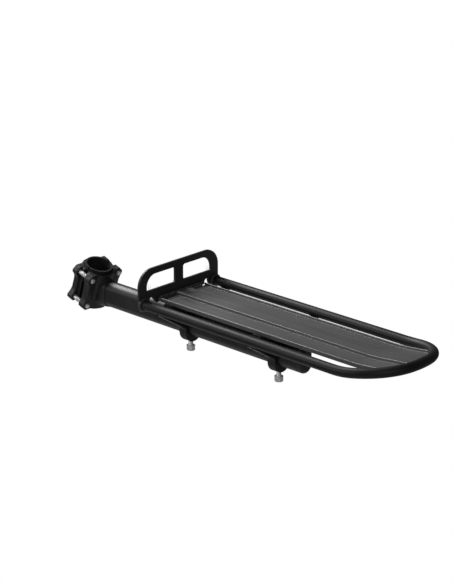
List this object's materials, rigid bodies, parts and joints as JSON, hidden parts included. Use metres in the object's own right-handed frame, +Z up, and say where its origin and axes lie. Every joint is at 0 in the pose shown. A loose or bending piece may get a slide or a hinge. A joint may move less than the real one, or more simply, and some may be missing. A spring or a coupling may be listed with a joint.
{
  "type": "rear rack",
  "caption": "Seat-post bicycle rear rack: a clamp and slotted-section beam carry a ribbed deck with a rounded rail loop and a windowed front hoop, on hangers that slide and lock with set bolts.",
  "frame": {"origin": "where the seat post's axis crosses the beam's axis", "axes": "+X rearward along the beam, +Y to the rider's right, +Z up"},
  "size_m": [0.5655, 0.142, 0.1144],
  "materials": {
    "cast_alloy": "black painted casting, semi-gloss",
    "beam": "black anodised extrusion, satin",
    "deck": "dark grey anodised extrusion with fine lengthwise lines, satin",
    "rail": "black painted tube, satin",
    "hoop": "black painted plate, matt",
    "steel": "zinc-plated, bright",
    "dark_steel": "black oxide, satin",
    "rubber": "matt black",
    "cap": "black moulded, satin"
  },
  "bodies": {
    "frame": {"rear_clamp_shell": "cast_alloy", "liner_rear": "rubber", "clamp_nut_upper_left": "dark_steel", "clamp_nut_upper_right": "dark_steel", "clamp_nut_lower_left": "dark_steel", "clamp_nut_lower_right": "dark_steel", "clamp_washer_upper_left": "steel", "clamp_washer_upper_right": "steel", "clamp_washer_lower_left": "steel", "clamp_washer_lower_right": "steel", "main_beam": "beam", "beam_end_cap": "cap"},
    "clamp_front": {"front_clamp_shell": "cast_alloy", "liner_front": "rubber", "clamp_bolt_upper_left": "steel", "clamp_bolt_upper_right": "steel", "clamp_bolt_lower_left": "steel", "clamp_bolt_lower_right": "steel"},
    "carriage": {"deck_plate": "deck", "rail_loop": "rail", "front_hoop": "hoop", "hoop_weld": "hoop", "rail_weld_left": "rail", "rail_weld_right": "rail", "hanger_front": "cast_alloy", "hanger_rear": "cast_alloy", "pressure_pad_front": "steel", "pressure_pad_rear": "steel"},
    "set_bolt_front": {"set_bolt_front": "steel"},
    "set_bolt_rear": {"set_bolt_rear": "steel"}
  },
  "joints": [
    {"name": "carriage_slide", "type": "slide", "parent": "frame", "child": "carriage", "axis": [1, 0, 0], "range_m": [-0.1, 0.028]},
    {"name": "clamp_opening", "type": "slide", "parent": "frame", "child": "clamp_front", "axis": [-0.9505, 0, 0.3107], "range_m": [0, 0.006]},
    {"name": "set_bolt_front_travel", "type": "slide", "parent": "carriage", "child": "set_bolt_front", "axis": [0, 0, -1], "range_m": [0, 0.004]},
    {"name": "set_bolt_rear_travel", "type": "slide", "parent": "carriage", "child": "set_bolt_rear", "axis": [0, 0, -1], "range_m": [0, 0.004]}
  ]
}
